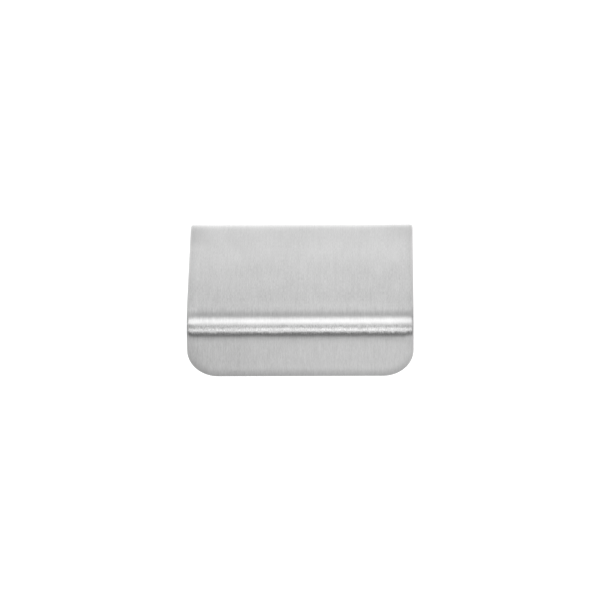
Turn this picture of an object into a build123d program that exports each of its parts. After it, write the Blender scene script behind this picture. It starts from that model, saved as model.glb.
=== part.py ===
from build123d import *

import os

# Lip pull for a drawer or cabinet front: one strip of brushed stainless steel sheet, folded twice.
# The rear flange is screwed to the back of the front, the top plate passes over the front's top edge,
# and the lip hangs down before it as the finger grip.
#
# Lengths are in millimetres. +X runs along the width, +Y points back and +Z up. The origin is the middle
# of the row of screw holes, on the flange's bearing face, which is the face that looks forward.

# Sheet
width = 50.0
sheet = 2.0
bend_radius = 4.0
edge_break = 0.6

# Folded shape, measured over the outside of the sheet
overall_depth = 43.5
lip_height = 15.0
lip_corner_radius = 6.8
flange_height = 20.0
flange_corner_radius = 3.0

# Screw holes in the flange, countersunk from behind for flat-headed screws
screw_count = 2
screw_spacing = 32.0
screw_edge_distance = 8.0
screw_bore = 4.5
countersink_angle = 90.0
countersink_land = 0.25
drill_run_out = 1.0

# Places that follow from the sizes above
rear_y = sheet
front_y = rear_y - overall_depth
flange_edge_z = -screw_edge_distance
top_z = flange_edge_z + flange_height
lip_edge_z = top_z - lip_height
bend_start_z = top_z - sheet - bend_radius

# A 90 degree countersink widens by twice its depth. It stops at the land, short of the bearing face.
countersink_depth = sheet - countersink_land
screw_head = screw_bore + 2 * countersink_depth

flange_rear_face = Plane(origin=(0, rear_y, 0), x_dir=(1, 0, 0), z_dir=(0, 1, 0))


with BuildPart() as lip_pull:
    # Section of the fold: the outside of the sheet, thickened inwards
    with BuildSketch(Plane.YZ):
        with BuildLine():
            FilletPolyline(
                (rear_y, flange_edge_z),
                (rear_y, top_z),
                (front_y, top_z),
                (front_y, lip_edge_z),
                radius=bend_radius + sheet,
            )
            offset(amount=sheet, side=Side.LEFT)
        make_face()
    extrude(amount=width / 2, both=True)

    # Lower corners: large on the lip, small on the flange
    corners = lip_pull.edges().filter_by(Axis.Y).group_by(Axis.Y)
    fillet(corners[0], radius=lip_corner_radius)
    corners = lip_pull.edges().filter_by(Axis.Y).group_by(Axis.Y)
    fillet(corners[-1], radius=flange_corner_radius)

    # Cut edges, broken all round: every edge but the bends' tangent lines and the short ones that
    # cross the sheet's thickness
    tangent_lines = lip_pull.edges().filter_by(Axis.X).filter_by_position(Axis.Z, bend_start_z, top_z)
    crossings = lip_pull.edges().filter_by(Axis.Y).group_by(SortBy.LENGTH)[0]
    fillet(lip_pull.edges() - tangent_lines - crossings, radius=edge_break)

    # Screw holes
    with Locations(flange_rear_face):
        with GridLocations(screw_spacing, 0, screw_count, 1):
            CounterSinkHole(
                radius=screw_bore / 2,
                counter_sink_radius=screw_head / 2,
                depth=sheet + drill_run_out,
                counter_sink_angle=countersink_angle,
            )

lip_pull.part.label = "lip_pull"

os.makedirs("parts", exist_ok=True)
export_step(lip_pull.part, "parts/lip_pull.step")
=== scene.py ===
import math
from types import SimpleNamespace

import bpy
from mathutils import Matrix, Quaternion, Vector


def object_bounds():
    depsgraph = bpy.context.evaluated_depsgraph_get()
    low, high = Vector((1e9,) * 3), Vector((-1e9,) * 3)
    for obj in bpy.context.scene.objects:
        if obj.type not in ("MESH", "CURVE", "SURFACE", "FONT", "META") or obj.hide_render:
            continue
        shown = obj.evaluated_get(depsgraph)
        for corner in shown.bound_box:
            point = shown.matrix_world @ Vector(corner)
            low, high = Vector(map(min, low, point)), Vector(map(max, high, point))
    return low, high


# Lengths are in metres and angles in degrees, in the frame of the CAD: +X along the width, +Y back, +Z up.

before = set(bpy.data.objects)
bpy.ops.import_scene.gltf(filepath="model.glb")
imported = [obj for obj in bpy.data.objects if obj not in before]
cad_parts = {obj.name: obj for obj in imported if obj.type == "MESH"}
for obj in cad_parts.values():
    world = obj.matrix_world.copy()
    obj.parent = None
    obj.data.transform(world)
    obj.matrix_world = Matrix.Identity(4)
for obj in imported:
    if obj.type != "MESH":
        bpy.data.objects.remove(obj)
cad_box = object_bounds()
low, high = cad_box

# Camera: a long lens, in front of the pull and above it
CAMERA_AZIMUTH = 0.98
CAMERA_ELEVATION = 33.18
CAMERA_ROLL = -0.725
CAMERA_DISTANCE = 1.3926
CAMERA_LENS = 375.35
CAMERA_CLIP = (0.05, 30.0)
AIM_BELOW_TOP = 0.00739
AIM_LEFT = 0.00020

# Places on the pull that its box doesn't give
LIP_EDGE_Z = -0.003
LIP_CORNER = 0.0068
FLANGE_CORNER = 0.003

# Weight of the large faces in the corner normals, which keeps the flat faces flat
FACE_WEIGHT = 50

# A pair says between which two places something changes or fades in. A ramp is a first level, then for each
# step its start, its end and the level that it leads to. ALONG is Y + Z, which falls all the way from the rear
# of the plate, over the front bend, to the lower edge of the lip. FACING is how far the surface faces sideways.
CUT_FACING = (0.35, 0.75)
FLAT_CUT_FACING = (0.90, 0.98)
IN_FRONT_Y = (-0.036, -0.039)
FOLDED_Z = (0.0052, 0.0066)
STRETCHED_Z = (0.0, (0.0076, 0.0082, 1.0), (0.0097, 0.0102, 0.0))

# Steel
STEEL_TONE = 0.62
ROUGHNESS = 0.32
ROUGHNESS_FINE = 0.10
ROUGHNESS_MEDIUM = 0.05
ANISOTROPY = 0.9
ANISOTROPY_TURN = 0.25

# Noises: the size of a cell along X, Y and Z, and the detail
NOISES = {
    "fine": ((0.00012, 0.0012, 0.0008), 3.0),
    "line": ((0.00012, 0.0044, 0.0032), 3.0),
    "long": ((0.00012, 0.0140, 0.0100), 3.0),
    "medium": ((0.0009, 0.0060, 0.0040), 2.0),
    "broad": ((0.0036, 0.0120, 0.0100), 2.0),
    "cloud": ((0.012, 0.010, 0.010), 1.0),
    "grain": ((0.00012, 0.0008, 0.0008), 1.0),
    "stroke": ((0.00012, 0.0040, 0.0040), 2.0),
    "speck": ((0.00012, 0.0004, 0.0004), 1.0),
    "cut": ((0.0002, 0.0002, 0.0002), 2.0),
}
NOISE_ROUGHNESS = 0.6

# Streaks and specks of tone. The streaks are weaker towards the rear, and on the lip towards the right.
STREAKS = {"fine": 0.39, "line": 0.22, "long": 0.11, "medium": 0.10, "broad": 0.08}
STREAKED_LIP_X = (1.42, (-0.020, 0.010, 1.04))
STREAKED_Y = ((-0.040, -0.036, 1.56), (-0.036, -0.002, 0.88))
CLOUDED = 0.12
CUT_GRAIN = 0.30
STRETCH_SPECKLE = 1.20

# Slow changes of tone, which are painted shade and painted highlight: darker and lighter along Y, darker on the
# left and lighter on the right, with a narrow painted dark strip on the left
PAINTED_SHADE_Y = (0.984, (-0.0362, -0.0325, 0.946), (-0.0320, -0.0250, 0.978), (-0.0240, -0.0120, 1.058))
PAINTED_SIDES_X = (-0.027, 0.016)
PAINTED_SHADE_LEFT_ALONG = (0.93, (-0.042, -0.010, 0.965))
PAINTED_DARK_STRIP_LEFT_ALONG = (1.0, (-0.0325, -0.0318, 0.93), (-0.0314, -0.0307, 1.0))
PAINTED_HIGHLIGHT_RIGHT_ALONG = (1.035, (-0.038, -0.032, 1.0))
# Painted highlight along the rear rim, stronger on the left and none on the right
PAINTED_RIM_HIGHLIGHT_X = (1.09, (-0.0250, -0.0180, 1.04), (0.0150, 0.0200, 1.0))
PAINTED_RIM_HIGHLIGHT_Y = (-0.0056, -0.0036)

# Painted shade and painted highlight in patches at both ends of the pull: where they fade along X, and a ramp,
# which goes along Y at the rear and along ALONG elsewhere
PAINTED_SHADE_LEFT_LIP = ((-0.0255, -0.0165), (0.875, (-0.0395, -0.0335, 0.98)))
PAINTED_SHADE_AND_HIGHLIGHT_LEFT_FOLD = (
    (-0.0250, -0.0210),
    (
        0.98,
        (-0.0316, -0.0307, 0.80),
        (-0.0303, -0.0295, 1.08),
        (-0.0285, -0.0270, 1.16),
        (-0.0250, -0.0235, 1.0),
    ),
)
PAINTED_SHADE_LEFT_REAR = ((-0.0250, -0.0180), (1.0, (-0.0130, -0.0080, 0.875)))
PAINTED_SHADE_AND_HIGHLIGHT_RIGHT_FOLD = (
    (0.0190, 0.0252),
    (0.985, (-0.0350, -0.0338, 1.12), (-0.0326, -0.0317, 0.87), (-0.0315, -0.0255, 0.965)),
)
PAINTED_SHADE_RIGHT_REAR = ((0.0175, 0.0220), (1.0, (-0.0115, -0.0055, 0.94)))

# Cut edges: darker from painted shade, more so on the lip, and softened by a small drop, less so on the lip
PAINTED_EDGE_SHADE_ALONG = (-0.0440, -0.0370)
PAINTED_EDGE_SHADE_LIP = 0.68
PAINTED_EDGE_SHADE = 0.93
PAINTED_EDGE_SHADE_REACH_LIP = 0.0032
PAINTED_EDGE_SHADE_REACH = 0.0020
EDGE_SOFT_REACH = 0.0018
EDGE_SOFT_Z = (0.002, 0.007)
EDGE_SOFT_DROP_LIP = 0.00003
EDGE_SOFT_DROP = 0.00018

# Height of the fine streaks
FINE_HEIGHT = 0.000006

# Tilts of the surface along the brushing: short on the fold, longer elsewhere, and steady at the fold's ends
GRAIN_TILT = 0.10
STRETCH_TILT = 0.10
STROKE_TILT = 0.07
FOLD_MIDDLE_X = -0.0003
FOLD_END_X = (0.0230, 0.0250)
FOLD_END_TILT_Z = (0.0, (0.0045, 0.0072, 0.050), (0.0080, 0.0092, 0.0))

# Floor: pale, well below the pull, white to the camera, and lifted in reflections
FLOOR_Z = -0.20
FLOOR_REACH = 0.8
FLOOR_COLOR = (0.80, 0.80, 0.80, 1)
WHITE_LIFT = 0.40
FRONT_LIFT = 0.105
FRONT_LIFT_Y = (-0.75, -0.26)
BACK_LIFT = 0.45
BACK_LIFT_Y = (-0.02, 0.06)
ASIDE_LIFT = 0.055
ASIDE_X = (0.25, 0.50)

# Dome of light. Its angles are measured from straight above, and grow towards the front: 90 is the horizon in
# front and -90 the one behind.
DOME_BACK = 0.985
DOME_FRONT = 0.70
DOME_TURN = (-37, -4)
DOME_LOW = 0.07
DOME_LOW_TURN = (80, 88)
REAR_GLOW = 0.20
REAR_GLOW_TURN = (-92, -58)
DOME_SIDE = (0.45, 0.95)
SIDE_LEVEL = 0.65

# Bands of the dome: the angle of the middle, how far from it the full level and the whole band reach, the level
KEY_BAND = (24.6, 1, 25.8, 1.18)
STRIP_BAND = (63.5, 1, 13.2, 1.18)
DARK_BAND = (83.2, 2, 18, 0.74)


class Tree:
    """Adds nodes to a node tree. An input is a number, a colour, or the output of another node."""

    def __init__(self, owner):
        owner.use_nodes = True
        self.tree = owner.node_tree
        self.tree.nodes.clear()

    def add(self, kind, inputs=None, **settings):
        made = self.tree.nodes.new(kind)
        for name, value in settings.items():
            setattr(made, name, value)
        for name, value in (inputs or {}).items():
            socket = made.inputs[name]
            if isinstance(value, bpy.types.NodeSocket):
                self.tree.links.new(value, socket)
            else:
                socket.default_value = value
        return made

    def math(self, operation, *values):
        return self.add("ShaderNodeMath", dict(enumerate(values)), operation=operation).outputs[0]

    def vector(self, operation, inputs):
        return self.add("ShaderNodeVectorMath", inputs, operation=operation).outputs["Vector"]

    def xyz(self, vector):
        return self.add("ShaderNodeSeparateXYZ", {0: vector}).outputs

    def product(self, first, *others):
        for value in others:
            first = self.math("MULTIPLY", first, value)
        return first

    def total(self, first, *others):
        for value in others:
            first = self.math("ADD", first, value)
        return first

    def smooth(self, value, start, end, low_value=0.0, high_value=1.0):
        """A level that changes smoothly from low_value at the start to high_value at the end."""
        made = self.add(
            "ShaderNodeMapRange",
            {"Value": value, "From Min": start, "From Max": end, "To Min": low_value, "To Max": high_value},
            interpolation_type="SMOOTHSTEP",
        )
        return made.outputs["Result"]

    def ramp(self, value, level, *steps):
        """A first level that changes smoothly, from the start to the end of each step, to that step's level."""
        for start, end, next_level in steps:
            level = self.smooth(value, start, end, level, next_level)
        return level


def edge_distance(t, x, y, z):
    """Distance from a point of the sheet to its nearest cut edge, with the round corners of lip and flange."""
    behind = t.math("GREATER_THAN", y, (low.y + high.y) / 2)
    corner = t.total(t.product(behind, FLANGE_CORNER - LIP_CORNER), LIP_CORNER)
    edge_z = t.total(t.product(behind, low.z - LIP_EDGE_Z), LIP_EDGE_Z)
    sideways = t.math("SUBTRACT", t.math("ABSOLUTE", x), t.math("SUBTRACT", high.x, corner))
    downwards = t.math("SUBTRACT", t.total(edge_z, corner), z)
    past_x = t.math("MAXIMUM", sideways, 0.0)
    past_z = t.math("MAXIMUM", downwards, 0.0)
    squares = t.total(t.math("POWER", past_x, 2.0), t.math("POWER", past_z, 2.0))
    return t.math("SUBTRACT", corner, t.math("SQRT", squares))


def steel_places(t):
    """Where a point of the steel is, and how much it belongs to each part of the surface."""
    place = t.add("ShaderNodeTexCoord").outputs["Object"]
    x, y, z = t.xyz(place)
    normal = t.add("ShaderNodeNewGeometry").outputs["Normal"]
    facing = t.math("ABSOLUTE", t.xyz(normal)["X"])
    cut = t.smooth(facing, *CUT_FACING)
    face = t.math("SUBTRACT", 1.0, cut)
    in_front = t.smooth(y, *IN_FRONT_Y)
    return SimpleNamespace(
        place=place,
        x=x,
        y=y,
        z=z,
        along=t.total(y, z),
        from_edge=edge_distance(t, x, y, z),
        normal=normal,
        facing=facing,
        cut=cut,
        face=face,
        in_front=in_front,
        folded=t.product(in_front, t.smooth(z, *FOLDED_Z)),
        stretched=t.product(in_front, face, t.ramp(z, *STRETCHED_Z)),
    )


def steel_noises(t, place):
    """The noises by name. Each is 0 on average."""
    made = {}
    for name, (size, detail) in NOISES.items():
        scaled = t.vector("MULTIPLY", {0: place, 1: tuple(1 / s for s in size)})
        noise = t.add(
            "ShaderNodeTexNoise",
            {"Vector": scaled, "Scale": 1.0, "Detail": detail, "Roughness": NOISE_ROUGHNESS},
        )
        made[name] = t.math("SUBTRACT", noise.outputs["Fac"], 0.5)
    return made


def steel_tone(t, at, noises):
    """Brightness of the steel: its streaks, clouds and specks, and painted shade and painted highlight in its
    slow changes, at its rear rim, at its ends and along its cut edges.
    """
    streaks = t.total(*(t.product(noises[name], amount) for name, amount in STREAKS.items()))
    streaked = t.ramp(at.y, t.ramp(at.x, *STREAKED_LIP_X), *STREAKED_Y)
    uneven = t.total(
        t.product(streaks, streaked, at.face),
        t.product(noises["cut"], at.cut, CUT_GRAIN),
        t.product(noises["speck"], at.stretched, STRETCH_SPECKLE),
        t.product(noises["cloud"], CLOUDED),
        1.0,
    )

    # Painted shade and painted highlight: darker on the left, lighter on the right and at the rear rim, and in
    # patches at the ends
    left = t.product(t.ramp(at.along, *PAINTED_SHADE_LEFT_ALONG), t.ramp(at.along, *PAINTED_DARK_STRIP_LEFT_ALONG))
    ends = [
        t.smooth(at.x, *PAINTED_SIDES_X, left, t.ramp(at.along, *PAINTED_HIGHLIGHT_RIGHT_ALONG)),
        t.smooth(at.y, *PAINTED_RIM_HIGHLIGHT_Y, 1.0, t.ramp(at.x, *PAINTED_RIM_HIGHLIGHT_X)),
    ]
    for value, (fade, ramp) in ((at.along, PAINTED_SHADE_LEFT_LIP), (at.along, PAINTED_SHADE_AND_HIGHLIGHT_LEFT_FOLD), (at.y, PAINTED_SHADE_LEFT_REAR)):
        ends.append(t.smooth(at.x, *fade, t.ramp(value, *ramp), 1.0))
    for value, (fade, ramp) in ((at.along, PAINTED_SHADE_AND_HIGHLIGHT_RIGHT_FOLD), (at.y, PAINTED_SHADE_RIGHT_REAR)):
        ends.append(t.smooth(at.x, *fade, 1.0, t.ramp(value, *ramp)))

    # Painted shade along the cut edges, stronger on the lip
    painted_edge_shade = t.smooth(at.along, *PAINTED_EDGE_SHADE_ALONG, PAINTED_EDGE_SHADE_LIP, PAINTED_EDGE_SHADE)
    painted_edge_shade_reach = t.smooth(at.along, *PAINTED_EDGE_SHADE_ALONG, PAINTED_EDGE_SHADE_REACH_LIP, PAINTED_EDGE_SHADE_REACH)
    return t.product(
        t.smooth(at.facing, *FLAT_CUT_FACING, t.product(*ends), 1.0),
        STEEL_TONE,
        uneven,
        t.smooth(at.from_edge, 0.0, painted_edge_shade_reach, painted_edge_shade, 1.0),
        # Painted shade and painted highlight along Y
        t.ramp(at.y, *PAINTED_SHADE_Y),
    )


def steel_normal(t, at, noises, brushing):
    """Normal of the steel. It tilts along the brushing, and turns outwards near the cut edges."""
    short = t.product(noises["grain"], t.total(t.product(at.stretched, STRETCH_TILT), GRAIN_TILT), at.folded)
    longer = t.product(noises["stroke"], t.math("SUBTRACT", 1.0, at.folded), STROKE_TILT)
    from_middle = t.math("ABSOLUTE", t.math("SUBTRACT", at.x, FOLD_MIDDLE_X))
    steady = t.product(at.in_front, t.smooth(from_middle, *FOLD_END_X), t.ramp(at.z, *FOLD_END_TILT_Z))
    amount = t.product(t.total(short, longer, steady), at.face)
    tilt = t.vector("SCALE", {0: brushing, "Scale": amount})
    tilted = t.vector("NORMALIZE", {0: t.vector("ADD", {0: at.normal, 1: tilt})})

    drop = t.smooth(at.z, *EDGE_SOFT_Z, EDGE_SOFT_DROP_LIP, EDGE_SOFT_DROP)
    softened = t.product(t.smooth(at.from_edge, 0.0, EDGE_SOFT_REACH, -1.0, 0.0), drop)
    height = t.total(t.product(noises["fine"], FINE_HEIGHT), softened)
    bump = t.add("ShaderNodeBump", {"Height": height, "Strength": 1.0, "Distance": 1.0, "Normal": tilted})

    # A Mix node has sockets for each type: inputs 4 and 5 and output 1 are its vectors.
    flat_cut = t.smooth(at.facing, *FLAT_CUT_FACING)
    mixed = t.add("ShaderNodeMix", {0: flat_cut, 4: bump.outputs["Normal"], 5: at.normal}, data_type="VECTOR")
    return mixed.outputs[1]


def make_steel():
    """Stainless steel, brushed from the rear over the front bend and down, so reflections spread along X."""
    material = bpy.data.materials.new("brushed_steel")
    t = Tree(material)
    at = steel_places(t)
    noises = steel_noises(t, at.place)
    brushing = t.add("ShaderNodeTangent", direction_type="RADIAL", axis="X").outputs["Tangent"]
    tone = steel_tone(t, at, noises)
    color = t.add("ShaderNodeCombineColor", {"Red": tone, "Green": tone, "Blue": tone}).outputs["Color"]
    roughness = t.total(
        t.product(noises["fine"], ROUGHNESS_FINE),
        t.product(noises["medium"], ROUGHNESS_MEDIUM),
        ROUGHNESS,
    )
    shader = t.add(
        "ShaderNodeBsdfPrincipled",
        {
            "Base Color": color,
            "Metallic": 1.0,
            "Roughness": roughness,
            "Anisotropic": ANISOTROPY,
            "Anisotropic Rotation": ANISOTROPY_TURN,
            "Tangent": brushing,
            "Normal": steel_normal(t, at, noises, brushing),
        },
    )
    t.add("ShaderNodeOutputMaterial", {"Surface": shader.outputs["BSDF"]})
    return material


def make_floor():
    """A square floor. It is clear from below."""
    mesh = bpy.data.meshes.new("floor")
    signs = ((-1, -1), (1, -1), (1, 1), (-1, 1))
    corners = [(x * FLOOR_REACH, y * FLOOR_REACH, FLOOR_Z) for x, y in signs]
    mesh.from_pydata(corners, [], [(0, 1, 2, 3)])
    floor = bpy.data.objects.new("floor", mesh)
    bpy.context.scene.collection.objects.link(floor)

    material = bpy.data.materials.new("pale_floor")
    t = Tree(material)
    path = t.add("ShaderNodeLightPath").outputs
    geometry = t.add("ShaderNodeNewGeometry").outputs
    x, y, _ = t.xyz(geometry["Position"])
    back_lift = t.smooth(t.math("ABSOLUTE", x), *ASIDE_X, BACK_LIFT, ASIDE_LIFT)
    reflected = t.ramp(y, 0.0, (*FRONT_LIFT_Y, FRONT_LIFT), (*BACK_LIFT_Y, back_lift))
    lift = t.total(
        t.product(path["Is Camera Ray"], WHITE_LIFT),
        t.product(path["Is Glossy Ray"], reflected),
    )
    diffuse = t.add("ShaderNodeBsdfDiffuse", {"Color": FLOOR_COLOR})
    glow = t.add("ShaderNodeEmission", {"Strength": lift})
    lit = t.add("ShaderNodeAddShader", {0: diffuse.outputs[0], 1: glow.outputs[0]})
    clear = t.add("ShaderNodeBsdfTransparent")
    seen = t.add("ShaderNodeMixShader", {0: geometry["Backfacing"], 1: lit.outputs[0], 2: clear.outputs[0]})
    t.add("ShaderNodeOutputMaterial", {"Surface": seen.outputs[0]})
    material.cycles.emission_sampling = "NONE"
    mesh.materials.append(material)


def make_dome():
    """A dome of soft light. The camera sees it as white."""
    world = bpy.data.worlds.new("studio")
    bpy.context.scene.world = world
    t = Tree(world)
    x, y, z = t.xyz(t.add("ShaderNodeTexCoord").outputs["Generated"])
    angle = t.math("DEGREES", t.math("ARCTAN2", t.product(y, -1.0), z))

    def band(centre, core, reach, level):
        away = t.math("ABSOLUTE", t.math("SUBTRACT", angle, centre))
        return t.smooth(away, core, reach, level, 0.0)

    light = t.total(
        t.smooth(angle, *DOME_TURN, DOME_BACK, DOME_FRONT),
        t.smooth(angle, *DOME_LOW_TURN, 0.0, DOME_LOW),
        t.smooth(angle, *REAR_GLOW_TURN, REAR_GLOW, 0.0),
        band(*KEY_BAND),
        band(*STRIP_BAND),
    )
    dark = t.math("SUBTRACT", 1.0, band(*DARK_BAND))
    side = t.smooth(t.math("ABSOLUTE", x), *DOME_SIDE, 1.0, SIDE_LEVEL)
    level = t.product(light, dark, side)
    seen = t.add("ShaderNodeLightPath").outputs["Is Camera Ray"]
    strength = t.add("ShaderNodeMix", {"Factor": seen, "A": level, "B": 1.0}).outputs["Result"]
    background = t.add("ShaderNodeBackground", {"Color": (1, 1, 1, 1), "Strength": strength})
    t.add("ShaderNodeOutputWorld", {"Surface": background.outputs[0]})


def make_camera():
    camera = bpy.data.objects.new("camera", bpy.data.cameras.new("camera"))
    bpy.context.scene.collection.objects.link(camera)
    bpy.context.scene.camera = camera
    a, e = math.radians(CAMERA_AZIMUTH), math.radians(CAMERA_ELEVATION)
    back = Vector((math.sin(a) * math.cos(e), -math.cos(a) * math.cos(e), math.sin(e)))
    turn = back.to_track_quat("Z", "Y") @ Quaternion((0, 0, 1), math.radians(CAMERA_ROLL))
    top = Vector((0, (low.y + high.y) / 2, high.z))
    aim = top + turn @ Vector((-AIM_LEFT, -AIM_BELOW_TOP, 0))
    camera.rotation_mode = "QUATERNION"
    camera.rotation_quaternion = turn
    camera.location = aim + back * CAMERA_DISTANCE
    camera.data.lens = CAMERA_LENS
    camera.data.clip_start, camera.data.clip_end = CAMERA_CLIP


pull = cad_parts["lip_pull"]
pull.data.materials.clear()
pull.data.materials.append(make_steel())
normals = pull.modifiers.new("face_normals", "WEIGHTED_NORMAL")
normals.mode = "FACE_AREA_WITH_ANGLE"
normals.weight = FACE_WEIGHT

make_floor()
make_dome()
make_camera()
bpy.context.scene.view_settings.view_transform = "Standard"
